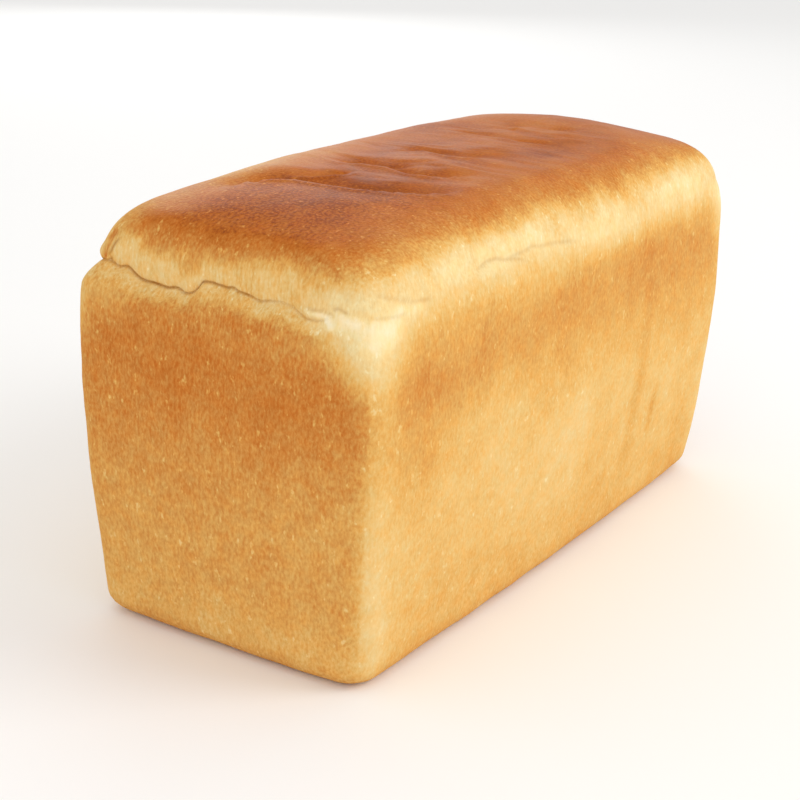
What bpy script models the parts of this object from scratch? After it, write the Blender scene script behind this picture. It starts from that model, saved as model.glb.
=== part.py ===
"""A large white tin loaf, whole and uncut, standing on its base.

The loaf is one closed solid. Rings climb from the flat base, up the tin-baked walls, over
the break that runs round at the tin's rim, and up the crown, and a grid closes the top.
Metres, +Z up, the origin at the middle of the base, the length along X.
"""

import math

import bmesh
import bpy
import numpy as np

MM = 0.001

# The tin: inner length and width at its rim, how far its walls lean in, and its round edges
TIN_LENGTH = 239 * MM
TIN_WIDTH = 105 * MM
WALL_LEAN = 5.2 * MM
WALL_LEAN_POWER = 1.6
CORNER_RADIUS = 7.5 * MM
BASE_RADIUS = 6.2 * MM
SIDE_BULGE = 2.9 * MM
END_BULGE = 2.0 * MM

# The crown: its top, the height where its long curve starts, and how square it is
LOAF_HEIGHT = 133.5 * MM
CROWN_START = 76.5 * MM
CROWN_POWER = 4.45
CROWN_CORNER_GROWTH = 1.13
NEAR_END_DROP = 4.2 * MM
FAR_END_DROP = 2.8 * MM
GRID_INSET = 17 * MM

# The break at the tin's rim: the wall rolls in below it, and the crown stands a step further in
BREAK_HEIGHT = 112 * MM
BREAK_SHIFT_REACH = 14 * MM
LIP_REACH = 9 * MM
LIP_DEPTH = 5 * MM
CROWN_STEP = 4.2 * MM
CROWN_STEP_FADE = 25 * MM
CREASE_DEPTH = 1.8 * MM
CREASE_WIDTH = 1.4 * MM
OVERHANG = 1.0 * MM
OVERHANG_RISE = 2.4 * MM

# Stations of the break along each side: the distance from the middle of that side, how strongly
# the break shows there, and how far it lies above BREAK_HEIGHT. Distances run anticlockwise
# seen from above, and they and the heights are in millimetres.
FRONT_BREAK = (
    (-119, 0.05, -1.0), (-109, 0.12, -1.0), (-104, 0.14, 1.7), (-97, 0.11, -0.5), (-90, 0.08, 1.2),
    (-76, 0.18, 3.0), (-66, 0.22, 3.4), (-54, 0.2, 2.5), (-38, 0.18, 3.0), (-24, 0.12, 1.7),
    (-6, 0.05, -0.6), (60, 0.05, -0.5), (100, 0.07, 0.4), (119, 0.2, 1.0),
)
FAR_END_BREAK = ((-52, 0.2, 1.0), (-30, 0.5, -0.8), (-5, 0.7, 1.4), (20, 0.5, -1.4), (52, 0.45, 0.5))
BACK_BREAK = (
    (-119, 0.45, 0.5), (-80, 0.7, 1.8), (-40, 0.5, -0.6), (0, 0.35, 1.6), (45, 0.6, 0.2),
    (85, 0.8, -1.8), (108, 0.85, -2.4), (119, 0.95, -2.0),
)
NEAR_END_BREAK = (
    (-52, 0.95, -1.6), (-44.3, 0.95, -1.2), (-36.8, 1.0, -1.6), (-32, 1.0, -3.8), (-28.8, 1.0, -4.4),
    (-14, 0.92, -4.9), (-10.1, 0.87, -4.7), (-7.5, 0.83, -1.1), (4.3, 0.73, -0.8), (13.9, 0.7, -2.5),
    (21.3, 0.64, -1.9), (27.5, 0.56, -4.6), (34.7, 0.4, -3.6), (42, 0.15, -2.2), (52, 0.05, -0.6),
)

# The top skin sank a little as it cooled, in one wide hollow. It ends at a ledge, a line that
# runs from the near end of the top round to its front, and troughs cross it from side to side.
# A trough is x, y, half length, turn in degrees, depth and width. All are in millimetres.
HOLLOW = {"x": 8, "y": -2, "half_length": 76, "half_width": 36, "depth": 1.6, "power": 3.0}
LEDGE = ((-80, 20), (-75, 15), (-71, 8.5), (-71, -4), (-70, -12), (-66, -21), (-60, -28.5), (-50, -32))
LEDGE_DROP = {"depth": 2.2, "steep": 3.0, "reach": 9.0}
TROUGHS = (
    (-50, 9, 9, -4, 0.8, 4.0),
    (-31, 2, 15, -6, 1.3, 3.8),
    (-30, -21, 10, 14, 1.2, 4.0),
    (2, -4, 14, -3, 1.5, 5.0),
    (14, -16, 9, 10, 0.9, 4.2),
    (38, -4, 18, 5, 1.1, 5.0),
    (64, 2, 14, 3, 0.9, 5.0),
)

# Slow unevenness of a hand-moulded dough: the height, length and number of its waves
LUMPS = {"height": 0.35 * MM, "length": 60 * MM, "waves": 12, "seed": 12}
FLAT_FOOT = 18 * MM

# How finely the solid is divided
LONG_STEPS = 32
END_STEPS = 18
ARC_STEPS = 3
BASE_ROWS = 4
WALL_ROWS = 6
BREAK_ROWS = (-5.5, -2.8, -1.2, 0.0, 1.2, 2.8, 6.0)
CROWN_ROWS = 8
PER_LONG = LONG_STEPS + 2 * ARC_STEPS
PER_END = END_STEPS + 2 * ARC_STEPS


def smooth_step(value):
    share = np.clip(value, 0, 1)
    return share * share * (3 - 2 * share)


def turned(side, along, out):
    """Plan coordinates from a side's own along and outward ones. Side 0 faces -Y, 1 faces +X."""
    x = np.select([side == 0, side == 1, side == 2, side == 3], [along, out, -along, -out])
    y = np.select([side == 0, side == 1, side == 2, side == 3], [-out, along, out, -along])
    return x, y


def ring_samples():
    """Side, arc angle and place along the straight for each point of a ring, from a corner on."""
    side, angle, along = [], [], []
    for number, steps in enumerate((LONG_STEPS, END_STEPS, LONG_STEPS, END_STEPS)):
        half_arc = [math.pi / 4 * i / ARC_STEPS for i in range(ARC_STEPS + 1)]
        side += [number] * (steps + 2 * ARC_STEPS)
        angle += [-turn for turn in half_arc[:0:-1]] + [0.0] * steps + half_arc[:-1]
        along += [-1.0] * ARC_STEPS + [-1 + 2 * i / steps for i in range(steps)] + [1.0] * ARC_STEPS
    return np.array(side), np.array(angle), np.array(along)


def ring_plan(samples, half_length, half_width, radius):
    """Points of a rounded rectangle, and the outward direction at each."""
    side, angle, along = samples
    is_long = side % 2 == 0
    reach = np.where(is_long, half_length, half_width) - radius
    depth = np.where(is_long, half_width, half_length) - radius
    x, y = turned(side, along * reach + radius * np.sin(angle), depth + radius * np.cos(angle))
    out_x, out_y = turned(side, np.sin(angle), np.cos(angle))
    return x, y, out_x, out_y


def crown_height(inset):
    """Height of the crown's curve, a superellipse, at a distance inside the tin's outline."""
    share = np.clip(1 - inset / (TIN_WIDTH / 2), 0, 1)
    return CROWN_START + (LOAF_HEIGHT - CROWN_START) * (1 - share**CROWN_POWER) ** (1 / CROWN_POWER)


def crown_inset(height):
    """The same curve the other way round: the distance inside the outline at a height."""
    share = np.clip((height - CROWN_START) / (LOAF_HEIGHT - CROWN_START), 0, 1)
    return TIN_WIDTH / 2 * (1 - (1 - share**CROWN_POWER) ** (1 / CROWN_POWER))


def plan_inset(x, y):
    """How far inside the outline a plan point lies. The corners' radius grows on the way in."""
    half_length, half_width = TIN_LENGTH / 2, TIN_WIDTH / 2
    growth = CROWN_CORNER_GROWTH
    from_x = np.abs(x) - half_length + CORNER_RADIUS
    from_y = np.abs(y) - half_width + CORNER_RADIUS
    a = 2 * (1 + growth) ** 2 - growth**2
    b = 2 * (1 + growth) * (from_x + from_y) - 2 * CORNER_RADIUS * growth
    c = from_x**2 + from_y**2 - CORNER_RADIUS**2
    round_inset = (-b + np.sqrt(np.maximum(b * b - 4 * a * c, 0))) / (2 * a)
    in_corner = np.minimum(from_x, from_y) + (1 + growth) * round_inset > 0
    inset = np.where(in_corner, round_inset, np.minimum(half_length - np.abs(x), half_width - np.abs(y)))
    end_round = half_width - np.hypot(np.maximum(np.abs(x) - (half_length - half_width), 0), y)
    return np.where(inset > (half_width - CORNER_RADIUS) / (1 + growth), end_round, inset)


def break_along(samples):
    """Strength of the break, and its height over BREAK_HEIGHT, at each point of a ring."""
    side, angle, along = samples
    strength, shift = np.zeros(len(side)), np.zeros(len(side))
    for number, stations in enumerate((FRONT_BREAK, FAR_END_BREAK, BACK_BREAK, NEAR_END_BREAK)):
        here = side == number
        straight = (TIN_LENGTH if number % 2 == 0 else TIN_WIDTH) / 2 - CORNER_RADIUS
        place = (along * straight + CORNER_RADIUS * np.sin(angle))[here] / MM
        at, strong, high = np.array(stations).T
        strength[here] = np.interp(place, at, strong)
        shift[here] = np.interp(place, at, high) * MM
    return strength, shift


def lumps(x, y, z):
    """Slow unevenness about -1 to 1: a seeded sum of waves in many directions."""
    rng = np.random.default_rng(LUMPS["seed"])
    total = 0.0
    for _ in range(LUMPS["waves"]):
        direction = rng.normal(size=3)
        direction /= np.linalg.norm(direction)
        turns = 2 * math.pi / (LUMPS["length"] * rng.uniform(0.7, 1.5))
        distance = x * direction[0] + y * direction[1] + z * direction[2]
        total = total + np.cos(turns * distance + rng.uniform(0, 2 * math.pi))
    return total / math.sqrt(LUMPS["waves"])


def beyond_ledge(x, y):
    """Distance of a plan point from the ledge line, positive on the hollow's side, in millimetres."""
    nearest = np.full(np.shape(x), np.inf)
    signed = np.zeros(np.shape(x))
    for (start_x, start_y), (end_x, end_y) in zip(LEDGE, LEDGE[1:]):
        run_x, run_y = end_x - start_x, end_y - start_y
        from_x, from_y = x / MM - start_x, y / MM - start_y
        share = np.clip((from_x * run_x + from_y * run_y) / (run_x**2 + run_y**2), 0, 1)
        distance = np.hypot(from_x - share * run_x, from_y - share * run_y)
        left = np.where(run_x * from_y - run_y * from_x > 0, 1.0, -1.0)
        signed = np.where(distance < nearest, distance * left, signed)
        nearest = np.minimum(nearest, distance)
    return signed


def top_relief(x, y):
    """How far the top skin has sunk at a plan point."""
    reach = (np.abs(x / MM - HOLLOW["x"]) / HOLLOW["half_length"]) ** HOLLOW["power"]
    reach = reach + (np.abs(y / MM - HOLLOW["y"]) / HOLLOW["half_width"]) ** HOLLOW["power"]
    sunk = HOLLOW["depth"] * smooth_step(1.25 * (1 - reach))
    beyond = beyond_ledge(x, y)
    fade = np.exp(-np.maximum(beyond, 0) / LEDGE_DROP["reach"])
    sunk = sunk + LEDGE_DROP["depth"] * smooth_step(beyond / LEDGE_DROP["steep"]) * fade
    for at_x, at_y, half_length, turn, depth, width in TROUGHS:
        cosine, sine = math.cos(math.radians(turn)), math.sin(math.radians(turn))
        across = (x / MM - at_x) * cosine + (y / MM - at_y) * sine
        lengthwise = (y / MM - at_y) * cosine - (x / MM - at_x) * sine
        sunk = sunk + depth * np.exp(-((across / width) ** 2) - (lengthwise / half_length) ** 4)
    return sunk * MM


def break_relief(rise, strength):
    """How far the break sets the surface in, and how far it lets the crown hang over its crease."""
    below = LIP_DEPTH * np.clip(1 + rise / LIP_REACH, 0, 1) ** 2
    above = CROWN_STEP + (LIP_DEPTH - CROWN_STEP) * np.exp(-np.maximum(rise, 0) / CREASE_WIDTH)
    above = above * np.exp(-np.maximum(rise, 0) / CROWN_STEP_FADE)
    crease = CREASE_DEPTH * np.exp(-((rise / CREASE_WIDTH) ** 2)) * np.clip(1.6 * strength, 0, 1)
    hang = OVERHANG * strength * np.exp(-(((rise - OVERHANG_RISE) / CREASE_WIDTH) ** 2))
    return strength * np.where(rise < 0, below, above) + crease, hang


def settled(x, y, height, inset, out_x, out_y, set_in, hang):
    """Points of the plain loaf moved to where the baked one has them."""
    on_top = smooth_step(inset / GRID_INSET)
    uneven = LUMPS["height"] * lumps(x, y, height)
    outward = uneven * smooth_step(height / FLAT_FOOT) * (1 - on_top) - set_in * (1 - on_top)
    end_share = np.clip(x / (TIN_LENGTH / 2), -1, 1)
    side_share = np.clip(y / (TIN_WIDTH / 2), -1, 1)
    new_x = x + END_BULGE * end_share**3 * (1 - side_share**2) + outward * out_x
    new_y = y + SIDE_BULGE * side_share**3 * (1 - end_share**2) + outward * out_y
    end_drop = np.where(x < 0, NEAR_END_DROP, FAR_END_DROP) * end_share**2
    new_z = height - hang + (uneven - end_drop - top_relief(x, y)) * on_top
    return np.stack(np.broadcast_arrays(new_x, new_y, new_z), axis=-1)


def ring_rows():
    """Height of each ring, and how far the base's round edge sets it in, from the base up."""
    turns = [math.pi / 2 * i / BASE_ROWS for i in range(BASE_ROWS + 1)]
    heights = [BASE_RADIUS * (1 - math.cos(turn)) for turn in turns]
    edge_insets = [BASE_RADIUS * (1 - math.sin(turn)) for turn in turns]
    lip_foot = BREAK_HEIGHT - LIP_REACH
    heights += [BASE_RADIUS + (lip_foot - BASE_RADIUS) * (i + 1) / WALL_ROWS for i in range(WALL_ROWS)]
    heights += [BREAK_HEIGHT + rise * MM for rise in BREAK_ROWS]
    start = crown_inset(heights[-1])
    for i in range(CROWN_ROWS):
        heights.append(crown_height(start + (GRID_INSET - start) * ((i + 1) / CROWN_ROWS) ** 1.5))
    edge_insets += [0.0] * (len(heights) - len(edge_insets))
    return np.array(heights)[:, None], np.array(edge_insets)[:, None]


def loaf_rings():
    """Every ring's points, and the plain plan of the topmost ring."""
    samples = ring_samples()
    strength, shift = break_along(samples)
    row_height, edge_inset = ring_rows()
    rise = row_height - BREAK_HEIGHT
    height = row_height + shift * (1 - smooth_step(np.abs(rise) / BREAK_SHIFT_REACH))
    inset = crown_inset(height)
    lean = WALL_LEAN * np.clip(1 - height / CROWN_START, 0, 1) ** WALL_LEAN_POWER
    in_all = inset + edge_inset + lean
    half_length = TIN_LENGTH / 2 - in_all
    half_width = TIN_WIDTH / 2 - in_all
    radius = np.minimum(CORNER_RADIUS + CROWN_CORNER_GROWTH * inset, half_width)
    x, y, out_x, out_y = ring_plan(samples, half_length, half_width, radius)
    set_in, hang = break_relief(rise, strength)
    return settled(x, y, height, inset, out_x, out_y, set_in, hang), np.stack([x[-1], y[-1]], axis=-1)


def top_grid(edge):
    """The inner points of the grid that closes the top: each blends the four sides of its rim."""
    front = edge[: PER_LONG + 1]
    far_end = edge[PER_LONG : PER_LONG + PER_END + 1]
    back = edge[PER_LONG + PER_END : 2 * PER_LONG + PER_END + 1][::-1]
    near_end = np.concatenate([edge[2 * PER_LONG + PER_END :], edge[:1]])[::-1]
    u = np.linspace(0, 1, PER_LONG + 1)[:, None, None]
    v = np.linspace(0, 1, PER_END + 1)[None, :, None]
    sides = front[:, None] * (1 - v) + back[:, None] * v + near_end[None] * (1 - u) + far_end[None] * u
    corners = (front[0] * (1 - u) + front[-1] * u) * (1 - v) + (back[0] * (1 - u) + back[-1] * u) * v
    plan = (sides - corners)[1:-1, 1:-1]
    x, y = plan[..., 0], plan[..., 1]
    inset = plan_inset(x, y)
    return settled(x, y, crown_height(inset), inset, 0.0, 0.0, 0.0, 0.0)


def bake_loaf():
    """The loaf as one closed mesh: base, rings and top grid."""
    rings, edge = loaf_rings()
    bm = bmesh.new()
    loops = [[bm.verts.new(point) for point in ring] for ring in rings]
    inner = [[bm.verts.new(point) for point in line] for line in top_grid(edge)]
    count = len(loops[0])

    bm.faces.new(loops[0][::-1])
    for lower, upper in zip(loops, loops[1:]):
        for i in range(count):
            j = (i + 1) % count
            bm.faces.new((lower[i], lower[j], upper[j], upper[i]))

    rim = loops[-1]
    lines = [[rim[-j % count] for j in range(PER_END + 1)]]
    for i in range(1, PER_LONG):
        lines.append([rim[i]] + inner[i - 1] + [rim[2 * PER_LONG + PER_END - i]])
    lines.append([rim[PER_LONG + j] for j in range(PER_END + 1)])
    for near, far in zip(lines, lines[1:]):
        for j in range(PER_END):
            bm.faces.new((near[j], far[j], far[j + 1], near[j + 1]))

    mesh = bpy.data.meshes.new("loaf")
    bm.to_mesh(mesh)
    bm.free()
    mesh.shade_smooth()
    mesh.set_sharp_from_angle(angle=math.radians(50))
    mesh.materials.append(crust_material())
    loaf = bpy.data.objects.new("loaf", mesh)
    bpy.context.scene.collection.objects.link(loaf)


def crust_material():
    """Golden tin-baked crust."""
    material = bpy.data.materials.new("golden_crust")
    material.use_nodes = True
    shader = material.node_tree.nodes["Principled BSDF"]
    shader.inputs["Base Color"].default_value = (0.55, 0.24, 0.055, 1.0)
    shader.inputs["Roughness"].default_value = 0.5
    shader.inputs["Metallic"].default_value = 0.0
    return material


def main():
    for existing in list(bpy.data.objects):
        bpy.data.objects.remove(existing)
    bake_loaf()


main()
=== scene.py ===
import math

import bpy
import numpy as np
from mathutils import Matrix, Vector


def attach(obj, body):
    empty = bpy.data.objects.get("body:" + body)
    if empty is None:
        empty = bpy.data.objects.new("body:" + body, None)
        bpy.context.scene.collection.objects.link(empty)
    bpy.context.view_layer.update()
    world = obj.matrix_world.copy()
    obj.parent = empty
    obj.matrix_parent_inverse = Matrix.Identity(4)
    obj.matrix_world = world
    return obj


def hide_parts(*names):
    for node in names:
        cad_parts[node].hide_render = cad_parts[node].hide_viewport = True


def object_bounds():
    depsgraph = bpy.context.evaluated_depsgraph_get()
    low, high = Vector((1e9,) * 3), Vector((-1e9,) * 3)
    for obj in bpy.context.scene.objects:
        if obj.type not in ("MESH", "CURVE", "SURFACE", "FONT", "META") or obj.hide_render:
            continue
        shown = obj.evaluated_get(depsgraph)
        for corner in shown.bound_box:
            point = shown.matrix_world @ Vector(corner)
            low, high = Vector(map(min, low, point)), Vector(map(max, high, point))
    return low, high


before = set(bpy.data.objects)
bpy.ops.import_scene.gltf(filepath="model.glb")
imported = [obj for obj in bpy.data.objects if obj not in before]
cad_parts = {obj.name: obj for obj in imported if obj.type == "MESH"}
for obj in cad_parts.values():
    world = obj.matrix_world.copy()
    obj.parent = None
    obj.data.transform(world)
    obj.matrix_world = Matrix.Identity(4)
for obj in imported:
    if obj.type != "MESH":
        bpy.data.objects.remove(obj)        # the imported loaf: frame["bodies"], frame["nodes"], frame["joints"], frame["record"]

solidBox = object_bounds()
print("frame loaded:", ", ".join(sorted(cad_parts)))

mm = 0.001


# small helpers, all on whole arrays

# 0 below 0, 1 above 1, and the cubic 3t^2 - 2t^3 between
def smoothStep(value):
    t = np.clip(value, 0, 1)
    return t * t * (3 - 2 * t)


# bell curve: 1 at zero, e^-1 at one width away
def bell(distance, width):
    return np.exp(-(distance / width) ** 2)


# values at stations, joined by smooth steps so that no corner shows
def easedThrough(stations, place):
    at, value = np.array(stations, dtype=float).T
    index = np.clip(np.searchsorted(at, place) - 1, 0, len(at) - 2)
    t = smoothStep((place - at[index]) / (at[index + 1] - at[index]))
    return value[index] * (1 - t) + value[index + 1] * t


# values at stations, joined by cubics whose slopes are the mean slopes of the neighbouring stations
def curvedThrough(stations, place):
    at, value = np.array(stations, dtype=float).T
    place = np.clip(place, at[0], at[-1])
    slope = np.gradient(value, at)
    index = np.clip(np.searchsorted(at, place) - 1, 0, len(at) - 2)
    span = at[index + 1] - at[index]
    t = (place - at[index]) / span
    start = value[index] * (2 * t ** 3 - 3 * t ** 2 + 1)
    start = start + slope[index] * span * (t ** 3 - 2 * t ** 2 + t)
    end = value[index + 1] * (3 * t ** 2 - 2 * t ** 3)
    return start + end + slope[index + 1] * span * (t ** 3 - t ** 2)


# gradient noise, about -1 to 1: each corner of the unit cell has a fixed random slope,
# and the eight are blended with the quintic 6t^5 - 15t^4 + 10t^3
def cellNoise(x, y, z, seed):
    rng = np.random.default_rng(seed)
    order = rng.permutation(256)
    slopes = rng.normal(size=(256, 3))
    slopes /= np.linalg.norm(slopes, axis=1, keepdims=True)
    place = np.stack(np.broadcast_arrays(x, y, z))
    cell = np.floor(place).astype(int)
    part = place - cell
    ease = part ** 3 * (part * (part * 6 - 15) + 10)
    total = 0.0
    for corner in np.ndindex(2, 2, 2):
        pick = order[(cell[0] + corner[0]) % 256]
        pick = order[(pick + cell[1] + corner[1]) % 256]
        pick = order[(pick + cell[2] + corner[2]) % 256]
        rise = sum(slopes[pick, k] * (part[k] - corner[k]) for k in range(3))
        share = np.prod([ease[k] if corner[k] else 1 - ease[k] for k in range(3)], axis=0)
        total = total + rise * share
    return total * 1.7


# noise of a given length in millimetres with finer layers on it, each half as long and half as high
def layered(x, y, z, length, layers, seed):
    total, height = 0.0, 1.0
    for layer in range(layers):
        scale = 2 ** layer / length
        total = total + height * cellNoise(x * scale, y * scale, z * scale, seed + layer)
        height *= 0.5
    return total


# distance from a line of points, positive to its left, and how far along it the nearest place is, 0 to 1
def besideLine(u, v, line):
    line = np.array(line, dtype=float)
    lengths = np.hypot(*np.diff(line, axis=0).T)
    starts = np.concatenate([[0], np.cumsum(lengths)])
    nearest = np.full(np.shape(u), np.inf)
    signed, share = np.zeros(np.shape(u)), np.zeros(np.shape(u))
    for k, (start, end) in enumerate(zip(line, line[1:])):
        run = end - start
        fromU, fromV = u - start[0], v - start[1]
        t = np.clip((fromU * run[0] + fromV * run[1]) / (run @ run), 0, 1)
        distance = np.hypot(fromU - t * run[0], fromV - t * run[1])
        left = np.where(run[0] * fromV - run[1] * fromU > 0, 1.0, -1.0)
        closer = distance < nearest
        signed = np.where(closer, distance * left, signed)
        share = np.where(closer, (starts[k] + t * lengths[k]) / starts[-1], share)
        nearest = np.where(closer, distance, nearest)
    return signed, share


# the loaf's plain form, the same as the solid's; millimetres
form = {
    "tinLength": 239, "tinWidth": 105, "wallLean": 5.2, "leanPower": 1.6,
    "cornerRadius": 7.5, "baseRadius": 6.2, "sideBulge": 2.9, "endBulge": 2.0,
    "height": 133.5, "crownStart": 76.5, "crownPower": 4.45, "cornerGrowth": 1.13,
    "nearEndDrop": 4.2, "farEndDrop": 2.8, "gridInset": 17,
}

# the break at the tin's rim, its thin crease, and a thin line of painted shade along the crease
breakShape = {
    "height": 112, "shiftReach": 14, "lipReach": 9, "lipDepth": 5, "crownStep": 4.2, "stepFade": 25,
    "edgeRound": 1.8, "creaseDepth": 0.2, "creaseWidth": 0.34, "creaseFrom": 0.2, "creaseGain": 1.7,
    "overhang": 0.3, "overhangRise": 2.2, "overhangWidth": 1.4, "wiggle": 0.4, "wiggleLength": 6,
    "shadeLineWidth": 0.42, "shadeLineMean": 0.62, "shadeLineVaries": 0.35, "shadeLineLength": 7,
    "depthVaries": 0.5, "depthLength": 16,
}

# how strongly the break shows, and its height over breakShape["height"], at places along each side
breakStrength = {
    "front": ((-119, 0.05), (-104, 0.14), (-90, 0.08), (-76, 0.18), (-68, 0.22), (-54, 0.2), (-40, 0.18),
              (-24, 0.12), (-8, 0.05), (60, 0.05), (100, 0.07), (119, 0.2)),
    "farEnd": ((-52, 0.2), (-30, 0.5), (-5, 0.7), (20, 0.5), (52, 0.45)),
    "back": ((-119, 0.45), (-80, 0.7), (-40, 0.5), (0, 0.35), (45, 0.6), (85, 0.8), (108, 0.85),
             (119, 0.95)),
    "nearEnd": ((-52, 0.95), (-44.3, 0.95), (-36, 1.0), (-20, 0.95), (-9, 0.85), (0, 0.75), (11, 0.72),
                (25, 0.68), (34, 0.52), (38, 0.32), (42, 0.15), (52, 0.05)),
}
breakRise = {
    "front": ((-119, -1.0), (-114, -1.6), (-109, -1.0), (-104, 1.7), (-101, 0.2), (-97, -0.5),
              (-92, 0.8), (-84, 2.4), (-76, 3.0), (-70, 2.5), (-66, 3.4), (-60, 3.3), (-55, 2.6),
              (-50, 2.3), (-45, 2.4), (-38, 3.0), (-32, 2.2), (-24, 1.7), (-15, 0.8), (-6, -0.6),
              (60, -0.5), (119, 1.0)),
    "farEnd": ((-52, 1.0), (-30, -0.8), (-5, 1.4), (20, -1.4), (52, 0.5)),
    "back": ((-119, 0.5), (-80, 1.8), (-40, -0.6), (0, 1.6), (45, 0.2), (85, -1.8), (108, -2.4),
             (119, -2.0)),
    "nearEnd": ((-52, -1.6), (-44.3, -1.2), (-42.1, -1.6), (-39.5, -1.9), (-36.8, -1.5), (-35.2, -1.9),
                (-32.8, -3.4), (-30.9, -4.2), (-26.1, -4.6), (-20.8, -4.6), (-15.5, -4.6), (-13.3, -5.3),
                (-11.5, -5.2), (-10.1, -4.6), (-8.8, -3.1), (-7.5, -1.1), (-5.9, -0.8), (1.9, -1.0),
                (4.3, -0.8), (6.4, -1.6), (9.9, -2.1), (13.9, -2.6), (17.1, -2.2), (22.5, -1.9),
                (25, -2.4), (26.9, -3.6), (29, -4.6), (31.4, -4.9), (33.8, -4.6), (36, -4.1),
                (39, -2.4), (46, -2.1), (52, -1.0)),
}

# short folds and billows beside the break: the side they are on, their points as place and height,
# depth, width, how much of the painted crease shade shows in them (brown), and how much paler they are,
# a painted highlight on billows that catch the light and painted shadow where below zero; the last two
# are shallow troughs low on the front
shortFolds = (
    {"side": 3, "line": ((29.5, 110.7), (32.6, 110.2), (36.8, 110.6), (39.8, 110.2), (41, 109)),
     "depth": 0.08, "width": 0.5, "brown": 0.34, "pale": 0},
    {"side": 3, "line": ((40.4, 111), (42.2, 112.3), (43.6, 112.1), (46.2, 111.2)),
     "depth": 0.08, "width": 0.5, "brown": 0.36, "pale": 0},
    # painted highlight over cream crust: these billows by the near end's right corner are paler where
    # they catch the light
    {"side": 3, "line": ((28.5, 109.6), (32, 109.2), (36, 109.5), (39.5, 109.3)),
     "depth": -0.35, "width": 1.1, "brown": 0, "pale": 0.14},
    {"side": 3, "line": ((37.3, 109.2), (38.7, 107.8), (39.9, 105.8)),
     "depth": -0.6, "width": 1.1, "brown": 0, "pale": 0.14},
    {"side": 3, "line": ((42, 110.7), (45, 109.6), (49, 108.8)),
     "depth": -0.4, "width": 1.3, "brown": 0, "pale": 0.07},
    # painted shade: the dark crease up the near end's left shoulder
    {"side": 3, "line": ((-42.5, 110.6), (-44, 111.8), (-44.9, 114), (-45.3, 119)),
     "depth": 0.35, "width": 0.5, "brown": 0.75, "pale": 0},
    # painted shadow: the second layer left of the crease is set in and darkened, pale below zero, where
    # it lies in shade
    {"side": 3, "line": ((-48, 110), (-48.3, 121)), "depth": 0.8, "width": 1.8, "brown": 0, "pale": -0.3},
    {"side": 2, "line": ((100, 111.5), (108, 112.3), (114, 112.8), (117.5, 112.6)),
     "depth": -1.2, "width": 2.3, "brown": 0, "pale": 0},
    {"side": 0, "line": ((-119, 110.9), (-116.8, 110.6), (-109.7, 110), (-106, 110.1)),
     "depth": 0.06, "width": 0.6, "brown": 0.16, "pale": 0},
    {"side": 0, "line": ((-119, 117.2), (-114.5, 115.4), (-110.8, 114.2), (-104.4, 112.6), (-98, 111.8),
                         (-93, 111.5)),
     "depth": 0.06, "width": 0.6, "brown": 0.22, "pale": 0},
    # painted highlight: the next two billows, under the front's break, are paler where the lip faces up
    # to the light
    {"side": 0, "line": ((-114, 112.6), (-105, 110.9), (-97, 110)),
     "depth": -0.35, "width": 1.6, "brown": 0, "pale": 0.07},
    {"side": 0, "line": ((-73, 112.9), (-66, 112.6), (-58, 113.2)),
     "depth": -0.35, "width": 1.4, "brown": 0, "pale": 0.05},
    {"side": 0, "line": ((-73, 115.1), (-70, 114.6), (-67.5, 115.1), (-65, 115.8), (-60.5, 115.6),
                         (-57.5, 115.4), (-55.5, 114.6), (-50.5, 114.1), (-46.7, 113.6), (-43, 112.1),
                         (-41, 111.1)),
     "depth": 0.07, "width": 0.6, "brown": 0.26, "pale": 0},
    {"side": 0, "line": ((-57.5, 115.6), (-50.5, 114.6), (-45.5, 114.8), (-38, 115.4), (-33, 114.6),
                         (-24, 114.1), (-15.5, 113.1), (-5.5, 111.6)),
     "depth": 0.06, "width": 0.7, "brown": 0.2, "pale": 0},
    {"side": 0, "line": ((41, 60), (43.5, 44), (45, 30), (44, 17)),
     "depth": 0.45, "width": 3.0, "brown": 0, "pale": 0},
    {"side": 0, "line": ((62.5, 45), (64, 36), (63, 26)),
     "depth": 0.4, "width": 2.2, "brown": 0, "pale": 0},
)

# the sunken top: one wide hollow, ledges where the skin drops on the far side of a line, and wrinkles
topShape = {
    "hollow": {"x": 8, "y": -2, "halfLength": 76, "halfWidth": 36, "depth": 1.6, "power": 3.0},
    "wrinkleHeight": 0.42, "wrinkleAcross": 7.0, "wrinkleAlong": 22.0, "wrinkleShade": 0.03,
    "fineWrinkle": 0.6, "warp": 7.0, "warpLength": 30, "ledgeVaries": 0.45, "ledgeLength": 14,
}
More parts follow.
